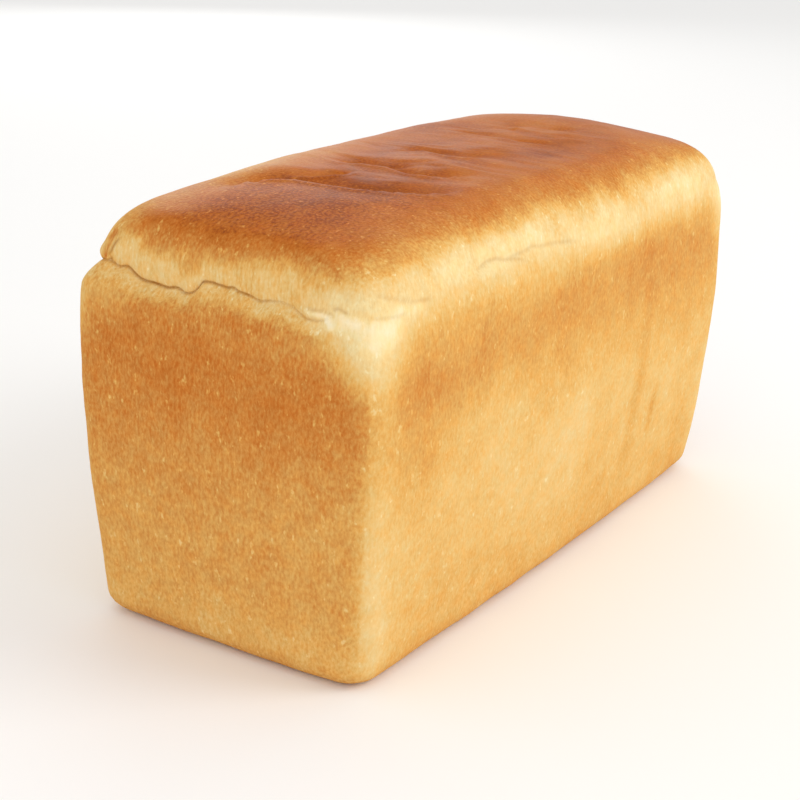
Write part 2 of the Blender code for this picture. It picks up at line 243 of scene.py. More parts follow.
# pocketShade: painted shade in each ledge's pocket, partly its own browner crust; below zero the pocket
# is paler
ledges = (
    {"line": ((-90, 27), (-81, 21), (-75, 15), (-71, 8.5), (-71, -4), (-70, -12), (-66, -21),
              (-60, -28.5), (-50, -32), (-40, -34)),
     "drop": 3.0, "steep": 2.0, "reach": 20.0, "lip": 0.4, "pocket": 22, "matt": 0.8, "pocketShade": 0.04},
    {"line": ((-66, 17), (-61, 9), (-53, 4), (-44, 3)),
     "drop": 1.0, "steep": 2.0, "reach": 10.0, "lip": 0.3, "pocket": 10, "matt": 0.8, "pocketShade": -0.06},
    {"line": ((-41, 19), (-36, 9), (-35, 0), (-38, -9), (-37, -17), (-32, -24), (-26, -30)),
     "drop": 1.8, "steep": 2.5, "reach": 12.0, "lip": 0.4, "pocket": 11, "matt": 0.55, "pocketShade": 0.03},
    {"line": ((-12, 12), (-7, 4), (-8, -4), (-8, -11), (-3, -19)),
     "drop": 1.7, "steep": 3.0, "reach": 20.0, "lip": 0.3, "pocket": 14, "matt": 0.4, "pocketShade": 0.01},
    {"line": ((31, 20), (35, 8), (34, -8), (37, -20), (42, -27)),
     "drop": 1.1, "steep": 3.5, "reach": 14.0, "lip": 0.2, "pocket": 12, "matt": 0.4, "pocketShade": 0.02},
    {"line": ((52, 9), (60, 4), (61, -6), (68, -16)),
     "drop": 0.8, "steep": 4.0, "reach": 14.0, "lip": 0.2, "pocket": 12, "matt": 0.3, "pocketShade": 0.0},
)

# unevenness of the crust: lengths and heights
uneven = {
    "lumpHeight": 0.35, "lumpLength": 60, "lumpCount": 12, "waveHeight": 0.16, "waveLength": 17,
    "grainHeight": 0.05, "grainLength": 4.5, "baseWobble": 1.2, "baseLength": 24, "flatFoot": 18,
}

# one seed for each random effect, so that every run gives the same loaf
seeds = {
    "lumps": 12, "breakRise": 21, "warp": 31, "wrinkle": 32, "fineWrinkle": 33, "ledge": 35, "wave": 41,
    "grain": 43, "patch": 51, "mottle": 53, "ragged": 55, "base": 61, "breakDepth": 63, "breakShadeLine": 65,
}

# how finely each part of the grid is divided
grid = {"long": 184, "end": 74, "arc": 6, "base": 7, "wall": 62, "break": 44, "crown": 20}


def turned(side, along, out):
    x = np.select([side == 0, side == 1, side == 2, side == 3], [along, out, -along, -out])
    y = np.select([side == 0, side == 1, side == 2, side == 3], [-out, along, out, -along])
    return x, y


# one ring of the grid from the near front corner round: its side, arc angle and share of the straight
def ringSamples():
    side, angle, along = [], [], []
    half = np.linspace(0, math.pi / 4, grid["arc"] + 1)
    for number, steps in enumerate((grid["long"], grid["end"], grid["long"], grid["end"])):
        side.append(np.full(steps + 2 * grid["arc"], number))
        angle.append(np.concatenate([-half[:0:-1], np.zeros(steps), half[:-1]]))
        straight = np.linspace(-1, 1, steps, endpoint=False)
        along.append(np.concatenate([np.full(grid["arc"], -1.0), straight, np.full(grid["arc"], 1.0)]))
    return np.concatenate(side), np.concatenate(angle), np.concatenate(along)


# rounded rectangle: each side is half an arc, a straight and half an arc
def ringPlan(samples, halfLength, halfWidth, radius):
    side, angle, along = samples
    isLong = side % 2 == 0
    reach = np.where(isLong, halfLength, halfWidth) - radius
    depth = np.where(isLong, halfWidth, halfLength) - radius
    x, y = turned(side, along * reach + radius * np.sin(angle), depth + radius * np.cos(angle))
    outX, outY = turned(side, np.sin(angle), np.cos(angle))
    return x, y, outX, outY


# superellipse (1 - s^n)^(1/n) of the share s of the half width, from the crown's start to its top
def crownHeight(inset):
    share = np.clip(1 - inset / (form["tinWidth"] / 2), 0, 1)
    n = form["crownPower"]
    return form["crownStart"] + (form["height"] - form["crownStart"]) * (1 - share ** n) ** (1 / n)


def crownInset(height):
    share = np.clip((height - form["crownStart"]) / (form["height"] - form["crownStart"]), 0, 1)
    n = form["crownPower"]
    return form["tinWidth"] / 2 * (1 - (1 - share ** n) ** (1 / n))


# distance inside the outline of a plan point, where the corner radius grows on the way in:
# the root of |corner offset| = radius + growth * inset
def planInset(x, y):
    halfLength, halfWidth = form["tinLength"] / 2, form["tinWidth"] / 2
    radius, growth = form["cornerRadius"], form["cornerGrowth"]
    fromX, fromY = np.abs(x) - halfLength + radius, np.abs(y) - halfWidth + radius
    a = 2 * (1 + growth) ** 2 - growth ** 2
    b = 2 * (1 + growth) * (fromX + fromY) - 2 * radius * growth
    c = fromX ** 2 + fromY ** 2 - radius ** 2
    roundInset = (-b + np.sqrt(np.maximum(b * b - 4 * a * c, 0))) / (2 * a)
    inCorner = np.minimum(fromX, fromY) + (1 + growth) * roundInset > 0
    inset = np.where(inCorner, roundInset, np.minimum(halfLength - np.abs(x), halfWidth - np.abs(y)))
    endRound = halfWidth - np.hypot(np.maximum(np.abs(x) - (halfLength - halfWidth), 0), y)
    return np.where(inset > (halfWidth - radius) / (1 + growth), endRound, inset)


# distance along its side of each point of a ring, from the middle of that side
def ringPlace(samples):
    side, angle, along = samples
    half = np.where(side % 2 == 0, form["tinLength"], form["tinWidth"]) / 2
    return along * (half - form["cornerRadius"]) + form["cornerRadius"] * np.sin(angle)


# noise that runs along each side of its own, from -1 to 1
def sideNoise(samples, place, length, seed):
    return layered(place, samples[0] * 50.0, 0.5, length, 2, seed)


def breakAlong(samples):
    side, place = samples[0], ringPlace(samples)
    strength, rise = np.zeros(len(place)), np.zeros(len(place))
    for number, name in enumerate(("front", "farEnd", "back", "nearEnd")):
        here = side == number
        strength[here] = easedThrough(breakStrength[name], place[here])
        rise[here] = easedThrough(breakRise[name], place[here])
    way = place + 400 * side
    wiggle = layered(way, 0.5, 0.5, breakShape["wiggleLength"], 2, seeds["breakRise"])
    rise = rise + breakShape["wiggle"] * wiggle
    return strength, rise


# how far the break is open enough for its crease to show, 0 to 1
def creaseShare(strength, depthNoise):
    return smoothStep(breakShape["creaseGain"] * (strength * depthNoise - breakShape["creaseFrom"]))


# set in: a quarter roll below the break, a small round and a slow fade above it, and a thin crease
def breakRelief(rise, strength, depthNoise):
    b = breakShape
    above = np.maximum(rise, 0)
    lip = b["lipDepth"] * np.clip(1 + rise / b["lipReach"], 0, 1) ** 2
    step = b["crownStep"] + (b["lipDepth"] - b["crownStep"]) * np.exp(-above / b["edgeRound"])
    step = step * np.exp(-above / b["stepFade"])
    crease = b["creaseDepth"] * bell(rise, b["creaseWidth"]) * creaseShare(strength, depthNoise)
    hang = b["overhang"] * strength * bell(rise - b["overhangRise"], b["overhangWidth"])
    return strength * np.where(rise < 0, lip, step) + crease, hang


# slow lumps: the solid's own seeded sum of waves
def lumps(x, y, z):
    rng = np.random.default_rng(seeds["lumps"])
    total = 0.0
    for _ in range(uneven["lumpCount"]):
        direction = rng.normal(size=3)
        direction /= np.linalg.norm(direction)
        turns = 2 * math.pi / (uneven["lumpLength"] * rng.uniform(0.7, 1.5))
        distance = x * direction[0] + y * direction[1] + z * direction[2]
        total = total + np.cos(turns * distance + rng.uniform(0, 2 * math.pi))
    return total / math.sqrt(uneven["lumpCount"])


# how far the top skin has sunk: the hollow, then each ledge's smooth step down whose depth fades back
# as (1 - distance / reach)^1.5, then wrinkles that fade out towards the rim; behind each ledge lies a
# pocket where the skin is more matt and the colour darker, painted shade partly over browner crust
def topRelief(x, y):
    t, hollow = topShape, topShape["hollow"]
    reach = (np.abs(x - hollow["x"]) / hollow["halfLength"]) ** hollow["power"]
    reach = reach + (np.abs(y - hollow["y"]) / hollow["halfWidth"]) ** hollow["power"]
    within = smoothStep(1.25 * (1 - reach))
    sunk = hollow["depth"] * within
    matt, pocketShade = np.zeros(np.shape(x + y)), np.zeros(np.shape(x + y))
    uneasy = 1 + t["ledgeVaries"] * layered(x, y, 7.7, t["ledgeLength"], 2, seeds["ledge"])
    for ledge in ledges:
        beyond, share = besideLine(x, y, ledge["line"])
        beyond = beyond + 0.8 * (uneasy - 1)
        taper = smoothStep(share * 4) * smoothStep((1 - share) * 4) * np.clip(uneasy, 0.3, 1.3)
        below = smoothStep(beyond / ledge["steep"]) * np.clip(1 - beyond / ledge["reach"], 0, 1) ** 1.5
        sunk = sunk + taper * (ledge["drop"] * below - ledge["lip"] * bell(beyond + 1.0, 1.2))
        pocket = smoothStep(beyond / 1.2) * smoothStep(1.7 * (1 - beyond / ledge["pocket"]))
        pocket = pocket * np.clip(taper, 0, 1)
        matt = np.maximum(matt, ledge["matt"] * pocket)
        pocketShadeFade = 1 - 0.9 * smoothStep((share - 0.5) * 3)
        pocketShade = pocketShade * (1 - pocket) + ledge["pocketShade"] * pocketShadeFade * pocket
    warpX = x + t["warp"] * layered(x, y, 3.3, t["warpLength"], 2, seeds["warp"])
    across, along = warpX / t["wrinkleAcross"], y / t["wrinkleAlong"]
    wrinkle = cellNoise(across, along, 0.5, seeds["wrinkle"])
    wrinkle = wrinkle + t["fineWrinkle"] * cellNoise(2.1 * across, 2.4 * along, 0.5, seeds["fineWrinkle"])
    # painted shade following the relief: darker in the wrinkles' troughs, paler on their ridges
    pocketShade = pocketShade - t["wrinkleShade"] * wrinkle * within
    return sunk - t["wrinkleHeight"] * wrinkle * within, matt, pocketShade


# moves points of the plain form to where the baked loaf has them
def settled(x, y, height, inset, outX, outY, setIn, hang):
    onTop = smoothStep(inset / form["gridInset"])
    slow = uneven["lumpHeight"] * lumps(x, y, height)
    quick = uneven["waveHeight"] * layered(x, y, height, uneven["waveLength"], 2, seeds["wave"])
    fine = layered(x, y, height, uneven["grainLength"], 2, seeds["grain"])
    quick = quick + uneven["grainHeight"] * fine
    foot = smoothStep(height / uneven["flatFoot"])
    outward = (slow * foot + quick * smoothStep(height / 2) - setIn) * (1 - onTop)
    endShare = np.clip(x / (form["tinLength"] / 2), -1, 1)
    sideShare = np.clip(y / (form["tinWidth"] / 2), -1, 1)
    newX = x + form["endBulge"] * endShare ** 3 * (1 - sideShare ** 2) + outward * outX
    newY = y + form["sideBulge"] * sideShare ** 3 * (1 - endShare ** 2) + outward * outY
    endDrop = np.where(x < 0, form["nearEndDrop"], form["farEndDrop"]) * endShare ** 2
    newZ = height - hang + (slow + quick - endDrop - topRelief(x, y)[0]) * onTop
    return np.stack(np.broadcast_arrays(newX, newY, newZ), axis=-1)


# height of each ring and how far the base's round edge sets it in; rings crowd towards the break
def ringRows():
    turns = np.linspace(0, math.pi / 2, grid["base"] + 1)
    heights = [form["baseRadius"] * (1 - np.cos(turns))]
    lipFoot = breakShape["height"] - breakShape["lipReach"]
    heights.append(np.linspace(form["baseRadius"], lipFoot, grid["wall"] + 1)[1:])
    t = np.linspace(-1, 1, grid["break"] + 1)[1:]
    heights.append(breakShape["height"] + breakShape["lipReach"] * (0.4 * t + 0.6 * t ** 3))
    start = crownInset(heights[-1][-1])
    t = np.linspace(0, 1, grid["crown"] + 1)[1:]
    heights.append(crownHeight(start + (form["gridInset"] - start) * t ** 1.3))
    heights = np.concatenate(heights)
    edgeInset = np.zeros(len(heights))
    edgeInset[:grid["base"] + 1] = form["baseRadius"] * (1 - np.sin(turns))
    return heights[:, None], edgeInset[:, None]


# how brown the crust is, 0 cream to 1 darkest red-brown: the walls and the corner posts by height,
# the crown by its distance in from the outline
bake = {
    "endWall": ((0, 0.58), (4, 0.48), (9, 0.43), (14, 0.46), (22, 0.5), (36, 0.52), (50, 0.53),
                (60, 0.56), (80, 0.655), (97, 0.65), (102, 0.6), (106, 0.54), (109.5, 0.33), (112, 0.22)),
    "longWall": ((0, 0.55), (5, 0.45), (20, 0.36), (42, 0.31), (60, 0.34), (76, 0.43), (88, 0.5),
                 (97, 0.49), (103, 0.41), (108, 0.26), (112, 0.14)),
    "corner": ((0, 0.5), (6, 0.35), (20, 0.25), (60, 0.32), (78, 0.41), (90, 0.32), (98, 0.12),
               (106, -0.02), (112, 0.08)),
    "cornerReach": 6.2, "cornerSpread": 7.5, "cornerShift": 5.5, "cornerCream": 0.08,
    "cornerPale": (1.0, 0.75, 0.8, 0.3), "palest": 0.3,
    "endCrown": ((0, 0.2), (1.5, 0.22), (2.6, 0.26), (3.7, 0.43), (5.0, 0.62), (6.8, 0.73), (9.5, 0.83),
                 (15, 0.88), (60, 0.86)),
    "longCrown": ((0, 0.16), (1.4, 0.14), (2.6, 0.14), (3.7, 0.21), (5.2, 0.38), (7.4, 0.58),
                  (10.8, 0.69), (16, 0.79), (24, 0.86), (60, 0.86)),
    "patch": 0.05, "patchLength": 36, "mottle": 0.045, "mottleLength": 8,
    "ragged": 0.9, "raggedLength": 5, "crownRagged": 0.5, "longSmooth": 0.26, "topSmooth": 0.38,
    "spreadFrom": 80, "spreadOver": 24,
}

# darker and paler places, some of them painted shade and painted light as marked below: the side, place
# and height of the middle, half width, half height, amount
smudges = (
    {"side": 0, "place": -113, "height": 125, "across": 12, "up": 4, "amount": -0.07},
    {"side": 0, "place": -60, "height": 114, "across": 40, "up": 5, "amount": 0.01},
    {"side": 0, "place": 70, "height": 112, "across": 50, "up": 5, "amount": 0.03},
    {"side": 0, "place": 50, "height": 102, "across": 42, "up": 8, "amount": 0.07},
    {"side": 0, "place": -98, "height": 86, "across": 16, "up": 12, "amount": 0.04},
    {"side": 0, "place": -104, "height": 107, "across": 10, "up": 4, "amount": -0.04},
    {"side": 3, "place": 46, "height": 106, "across": 5, "up": 5, "amount": 0.06},
    {"side": 3, "place": 33, "height": 106.5, "across": 7, "up": 3, "amount": 0.09},
    # painted shade: darker at the near end's left corner by the break, where it lies in shadow
    {"side": 3, "place": -50, "height": 108, "across": 5, "up": 5, "amount": 0.07},
    # painted light: paler on the crown by the near end's right corner, to offset the shade that falls
    # there
    {"side": 3, "place": 46, "height": 117, "across": 8, "up": 4, "amount": -0.05},
    {"side": 0, "place": -98, "height": 60, "across": 15, "up": 22, "amount": 0.09},
    {"side": 0, "place": -108, "height": 18, "across": 9, "up": 14, "amount": -0.05},
    {"side": 0, "place": -65, "height": 24, "across": 28, "up": 9, "amount": 0.04},
    {"side": 0, "place": -50, "height": 70, "across": 26, "up": 14, "amount": -0.07},
    {"side": 0, "place": -5, "height": 45, "across": 14, "up": 30, "amount": -0.05},
    {"side": 0, "place": 47, "height": 48, "across": 4.5, "up": 30, "amount": 0.1},
    {"side": 0, "place": 64.5, "height": 38, "across": 2.4, "up": 9, "amount": 0.15},
    {"side": 0, "place": 85, "height": 62, "across": 32, "up": 34, "amount": 0.04},
    # painted shade: darker on the near end's left shoulder under the break, where it lies in shadow
    {"side": 3, "place": -46, "height": 103, "across": 8, "up": 9, "amount": 0.12},
    {"side": 3, "place": 39, "height": 109, "across": 7, "up": 4, "amount": -0.07},
    {"side": 3, "place": -29, "height": 114, "across": 7, "up": 4, "amount": 0.05},
    {"side": 3, "place": 9, "height": 114.5, "across": 8, "up": 4, "amount": 0.13},
    {"side": 3, "place": 25, "height": 114.5, "across": 7, "up": 4, "amount": 0.2},
    {"side": 3, "place": 16, "height": 104, "across": 14, "up": 4, "amount": 0.11},
    {"side": 3, "place": 0, "height": 66, "across": 16, "up": 14, "amount": -0.03},
    {"side": 3, "place": 20, "height": 28, "across": 14, "up": 12, "amount": 0.05},
)
# the same on the top, and how matt each is
topSpots = (
    {"place": (-84, -16), "size": (16, 16), "amount": 0.04, "matt": 0.0},
    {"place": (6, -12), "size": (12, 7), "amount": -0.02, "matt": 0.5},
    {"place": (-28, -20), "size": (7, 7), "amount": 0.01, "matt": 0.45},
    {"place": (43, -20), "size": (9, 6), "amount": 0.01, "matt": 0.45},
    {"place": (-50, 35), "size": (48, 14), "amount": -0.28, "matt": 0.0},
    {"place": (75, 10), "size": (24, 30), "amount": -0.1, "matt": 0.0},
)


# wide soft patches and a small mottle, the same on the walls and the top
def bakeNoise(x, y, z):
    patch = layered(x, y, z, bake["patchLength"], 2, seeds["patch"])
    return patch, layered(x, y, z, bake["mottleLength"], 2, seeds["mottle"])


# the wall's own stations, then the corner's, mixed in by a bell round a line that lies on the long side
# of the corner low down and at the corner itself near the break, where the bell is wider; above the break
# the crown's stations take over, at once where the break is strong and softly where it is weak
def wallBake(samples, level, rise, strength, endShare, x, y, z):
    side, place = samples[0], ringPlace(samples) + 0 * level
    patch, mottle = bakeNoise(x, y, z)
    ragged = layered(place, level * 0.25, side * 50.0, bake["raggedLength"], 2, seeds["ragged"])
    uneasy = level + bake["ragged"] * ragged * smoothStep((level - 80) / 20)
    amount = curvedThrough(bake["longWall"], uneasy) * (1 - endShare)
    amount = amount + curvedThrough(bake["endWall"], uneasy) * endShare
    half = np.where(side % 2 == 0, form["tinLength"], form["tinWidth"]) / 2
    spread = smoothStep((level - bake["spreadFrom"]) / bake["spreadOver"])
    fromCorner = (half - np.abs(place)) * np.where(side % 2 == 0, 1, -1)
    fromCorner = fromCorner - bake["cornerShift"] * (1 - spread)
    nearCorner = bell(fromCorner, bake["cornerReach"] + bake["cornerSpread"] * spread)
    lessPale = bake["palest"] * (1 - np.array(bake["cornerPale"])[(side + (place > 0)) % 4]) * spread
    amount = amount * (1 - nearCorner) + (curvedThrough(bake["corner"], uneasy) + lessPale) * nearCorner
    crown = crownBake(crownInset(level), endShare, patch, mottle, ragged)
    cream = bake["cornerCream"] * (1.3 * endShare - 0.3) - lessPale
    crown = crown - cream * nearCorner * smoothStep(1 - rise / 9)
    crown = crown + spotBake(x, y) * smoothStep(rise / 8)
    above = smoothStep(0.5 + rise / (0.4 + 5 * (1 - np.clip(strength, 0, 1))))
    amount = crown * above + amount * (1 - above)
    for smudge in smudges:
        spot = bell(place - smudge["place"], smudge["across"])
        spot = spot * bell(level - smudge["height"], smudge["up"])
        amount = amount + smudge["amount"] * spot * (side == smudge["side"])
    return amount + bake["patch"] * patch + bake["mottle"] * mottle


# the crown's stations, with an uneven edge
def crownBake(inset, endShare, patch, mottle, ragged):
    shift = bake["crownRagged"] * (mottle + patch + ragged) * smoothStep(inset / 3)
    uneasy = np.clip(inset + shift, 0, 59)
    amount = curvedThrough(bake["longCrown"], uneasy) * (1 - endShare)
    return amount + curvedThrough(bake["endCrown"], uneasy) * endShare


# the crust's grain is fainter on the top, but not in front of the first ledge
def grainyTop(inset, x):
    front = smoothStep((inset - 6) / 20) * smoothStep((-52 - x) / 26)
    return 1 - bake["topSmooth"] * smoothStep((inset - 6) / 20) * smoothStep((x + 78) / 26) + 0.3 * front


# square of how far a place is from the middle of a spot of the top, in the spot's own sizes
def spotReach(spot, x, y):
    (middleX, middleY), (sizeX, sizeY) = spot["place"], spot["size"]
    return ((x - middleX) / sizeX) ** 2 + ((y - middleY) / sizeY) ** 2


# how tight and glossy the skin is: from the rim inwards, but less in the pockets and in the matt spots,
# each a flat-topped oval e^-(r^4)
def skinOf(inset, x, y):
    matt = topRelief(x, y)[1]
    for spot in topSpots:
        matt = np.maximum(matt, spot["matt"] * np.exp(-spotReach(spot, x, y) ** 2))
    return smoothStep((inset - 4) / 9) * (1 - matt)


# the darker and paler spots of the top, each a round-topped oval e^-(r^2)
def spotBake(x, y):
    return sum(spot["amount"] * np.exp(-spotReach(spot, x, y)) for spot in topSpots)


# the same for the grid that closes the top
def topBake(inset, x, y, z):
    patch, mottle = bakeNoise(x, y, z)
    toEnd, toSide = form["tinLength"] / 2 - np.abs(x), form["tinWidth"] / 2 - np.abs(y)
    endShare = smoothStep(0.5 + (toSide - toEnd) / 10)
    amount = crownBake(inset, endShare, patch, mottle, 0 * patch)
    # the pockets' and the wrinkles' painted shade, then the top's spots
    amount = amount + topRelief(x, y)[2] + spotBake(x, y)
    return amount + bake["patch"] * patch + bake["mottle"] * mottle


# the loaf as one closed surface
def buildLoaf():
    samples = ringSamples()
    strength, shift = breakAlong(samples)
    rowHeight, edgeInset = ringRows()
    rise = rowHeight - breakShape["height"] + 0 * shift
    height = rowHeight + shift * (1 - smoothStep(np.abs(rise) / breakShape["shiftReach"]))
    inset = crownInset(height)
    place = ringPlace(samples) + 0 * height
    wobble = uneven["baseWobble"] * sideNoise(samples, place, uneven["baseLength"], seeds["base"])
    lean = form["wallLean"] * np.clip(1 - height / form["crownStart"], 0, 1) ** form["leanPower"]
    inAll = inset + edgeInset * (1 + wobble / form["baseRadius"]) + lean
    halfLength, halfWidth = form["tinLength"] / 2 - inAll, form["tinWidth"] / 2 - inAll
    radius = np.minimum(form["cornerRadius"] + form["cornerGrowth"] * inset, halfWidth)
    x, y, outX, outY = ringPlan(samples, halfLength, halfWidth, radius)
    edge = np.stack([x[-1], y[-1]], axis=-1)

    b = breakShape
    depthNoise = 1 + b["depthVaries"] * sideNoise(samples, place, b["depthLength"], seeds["breakDepth"])
    setIn, hang = breakRelief(rise, strength, depthNoise)
    # painted shade: a thin line of the crease shade colour along the break, broken up by noise and
    # strongest where the crease is open
    shadeLineNoise = sideNoise(samples, place, b["shadeLineLength"], seeds["breakShadeLine"])
    shadeLineShare = np.clip(b["shadeLineMean"] + b["shadeLineVaries"] * shadeLineNoise, 0, 1)
    creaseShade = creaseShare(strength, depthNoise) * bell(rise, b["shadeLineWidth"]) * shadeLineShare
    pale = 0 * place
    for short in shortFolds:
        beside, share = besideLine(place, height, short["line"])
        taper = smoothStep(share * 5) * smoothStep((1 - share) * 5) * (samples[0] == short["side"])
        groove = taper * bell(beside, short["width"])
        setIn = setIn + short["depth"] * groove
        creaseShade = np.maximum(creaseShade, groove * short["brown"])
        pale = pale + groove * short["pale"]
    points = settled(x, y, height, inset, outX, outY, setIn, hang)
    brown = wallBake(samples, rowHeight + 0 * shift, rise, strength, outX ** 2, x, y, height) - pale
    grainySide = 1 - bake["longSmooth"] * (1 - outX ** 2) * smoothStep((height - 118) / -6)
    grainySide = grainySide * grainyTop(inset, x)
    sideSkin = skinOf(inset, x, y)

    # the grid that closes the top blends the four sides of the topmost ring
    perLong, perEnd = grid["long"] + 2 * grid["arc"], grid["end"] + 2 * grid["arc"]
    front, farEnd = edge[:perLong + 1], edge[perLong:perLong + perEnd + 1]
    back = edge[perLong + perEnd:2 * perLong + perEnd + 1][::-1]
    nearEnd = np.concatenate([edge[2 * perLong + perEnd:], edge[:1]])[::-1]
    u = np.linspace(0, 1, perLong + 1)[:, None, None]
    v = np.linspace(0, 1, perEnd + 1)[None, :, None]
    sides = front[:, None] * (1 - v) + back[:, None] * v + nearEnd[None] * (1 - u) + farEnd[None] * u
    corners = (front[0] * (1 - u) + front[-1] * u) * (1 - v) + (back[0] * (1 - u) + back[-1] * u) * v
    plan = (sides - corners)[1:-1, 1:-1]
    gridX, gridY = plan[..., 0], plan[..., 1]
    gridInset = planInset(gridX, gridY)
    gridZ = crownHeight(gridInset)
    topPoints = settled(gridX, gridY, gridZ, gridInset, 0.0, 0.0, 0.0, 0.0)
    topBrown = topBake(gridInset, gridX, gridY, gridZ)
    topSkin, topGrainy = skinOf(gridInset, gridX, gridY), grainyTop(gridInset, gridX)

    # vertex numbers as arrays, then quads between neighbouring rings and grid lines
    rows, count = height.shape
    ring = np.arange(rows * count).reshape(rows, count)
    after = np.roll(ring, -1, axis=1)
    walls = np.stack([ring[:-1], after[:-1], after[1:], ring[1:]], axis=-1).reshape(-1, 4)
    top = np.empty((perLong + 1, perEnd + 1), dtype=int)
    rim = ring[-1]
    inner = np.arange((perLong - 1) * (perEnd - 1)).reshape(perLong - 1, perEnd - 1)
    top[1:-1, 1:-1] = rows * count + inner
    top[:, 0], top[-1, :] = rim[:perLong + 1], rim[perLong:perLong + perEnd + 1]
    top[:, -1] = rim[perLong + perEnd:2 * perLong + perEnd + 1][::-1]
    top[0, :] = np.concatenate([rim[2 * perLong + perEnd:], rim[:1]])[::-1]
    lid = np.stack([top[:-1, :-1], top[1:, :-1], top[1:, 1:], top[:-1, 1:]], axis=-1).reshape(-1, 4)
    faces = [tuple(ring[0][::-1])] + np.concatenate([walls, lid]).tolist()
    verts = np.concatenate([points.reshape(-1, 3), topPoints.reshape(-1, 3)])
    values = {
        "bake": np.concatenate([brown.ravel(), topBrown.ravel()]),
        "creaseShade": np.concatenate([creaseShade.ravel(), np.zeros(topBrown.size)]),
        "skin": np.concatenate([sideSkin.ravel(), topSkin.ravel()]),
        "stretch": np.concatenate([bell(rise, 11).ravel(), np.zeros(topBrown.size)]),
        "grainy": np.concatenate([grainySide.ravel(), topGrainy.ravel()]),
    }
    return meshObject("loafCrust", fitted(verts * mm), faces, values)


# scales points a hair, if need be, so that the loaf never leaves the solid's box
def fitted(verts):
    low, high = (np.array(corner) for corner in solidBox)
    middle = np.array([(low[0] + high[0]) / 2, (low[1] + high[1]) / 2, low[2]])
    own = (verts.min(axis=0) + verts.max(axis=0)) / 2 * (1, 1, 0)
    size, room = np.ptp(verts, axis=0), high - low - 0.0001
    return middle + (verts - own) * np.minimum(1, room / size)


def meshObject(name, verts, faces, values):
    mesh = bpy.data.meshes.new(name)
    mesh.from_pydata(verts, [], faces)
    for key, value in values.items():
        layer = mesh.attributes.new(key, "FLOAT", "POINT")
        layer.data.foreach_set("value", value.astype(np.float32))
    mesh.shade_smooth()
    piece = bpy.data.objects.new(name, mesh)
    bpy.context.scene.collection.objects.link(piece)
    return piece


# node helpers
def addNode(tree, kind, values=None, **settings):
    node = tree.nodes.new(kind)
    for key, value in settings.items():
        setattr(node, key, value)
    for key, value in (values or {}).items():
        node.inputs[key].default_value = value
    return node


def newGroup(name, inputs, outputs):
    group = bpy.data.node_groups.new(name, "ShaderNodeTree")
    for socket, (kind, value) in inputs.items():
        item = group.interface.new_socket(socket, in_out="INPUT", socket_type=kind)
        item.default_value = value
    for socket, kind in outputs.items():
        group.interface.new_socket(socket, in_out="OUTPUT", socket_type=kind)
    return group, group.nodes.new("NodeGroupInput"), group.nodes.new("NodeGroupOutput")


def mathNode(tree, operation, first, second, clamp=False):
    node = addNode(tree, "ShaderNodeMath", operation=operation, use_clamp=clamp)
    for slot, value in enumerate((first, second)):
        if isinstance(value, (int, float)):
            node.inputs[slot].default_value = value
        else:
            tree.links.new(value, node.inputs[slot])
    return node.outputs[0]


# fine speckle: noise of a given size on object coordinates, drawn out upwards by Stretch,
# cut to a mask between Low and High
def speckleGroup():
    sockets = {"Size": ("NodeSocketFloat", 1.0), "Stretch": ("NodeSocketFloat", 1.0),
               "Low": ("NodeSocketFloat", 0.3), "High": ("NodeSocketFloat", 0.7),
               "Offset": ("NodeSocketFloat", 0.0)}
    results = {"Mask": "NodeSocketFloat", "Raw": "NodeSocketFloat"}
    group, given, result = newGroup("speckle", sockets, results)
    links = group.links
    place = addNode(group, "ShaderNodeTexCoord")
    parts = addNode(group, "ShaderNodeSeparateXYZ")
    links.new(place.outputs["Object"], parts.inputs[0])
    joined = addNode(group, "ShaderNodeCombineXYZ")
    links.new(mathNode(group, "ADD", parts.outputs[0], given.outputs["Offset"]), joined.inputs[0])
    links.new(parts.outputs[1], joined.inputs[1])
    links.new(mathNode(group, "DIVIDE", parts.outputs[2], given.outputs["Stretch"]), joined.inputs[2])
    noise = addNode(group, "ShaderNodeTexNoise", {"Detail": 2.0, "Roughness": 0.6})
    links.new(joined.outputs[0], noise.inputs["Vector"])
    links.new(mathNode(group, "DIVIDE", 1000.0, given.outputs["Size"]), noise.inputs["Scale"])
    cut = addNode(group, "ShaderNodeMapRange")
    links.new(noise.outputs["Fac"], cut.inputs["Value"])
    links.new(given.outputs["Low"], cut.inputs["From Min"])
    links.new(given.outputs["High"], cut.inputs["From Max"])
    links.new(cut.outputs[0], result.inputs["Mask"])
    links.new(noise.outputs["Fac"], result.inputs["Raw"])
    return group


def speckle(tree, group, values):
    node = addNode(tree, "ShaderNodeGroup", node_tree=group)
    for key, value in values.items():
        node.inputs[key.capitalize()].default_value = value
    return node


def srgb(text):
    parts = [int(text[i:i + 2], 16) / 255 for i in (0, 2, 4)]
    return tuple(p / 12.92 if p <= 0.04045 else ((p + 0.055) / 1.055) ** 2.4 for p in parts) + (1.0,)


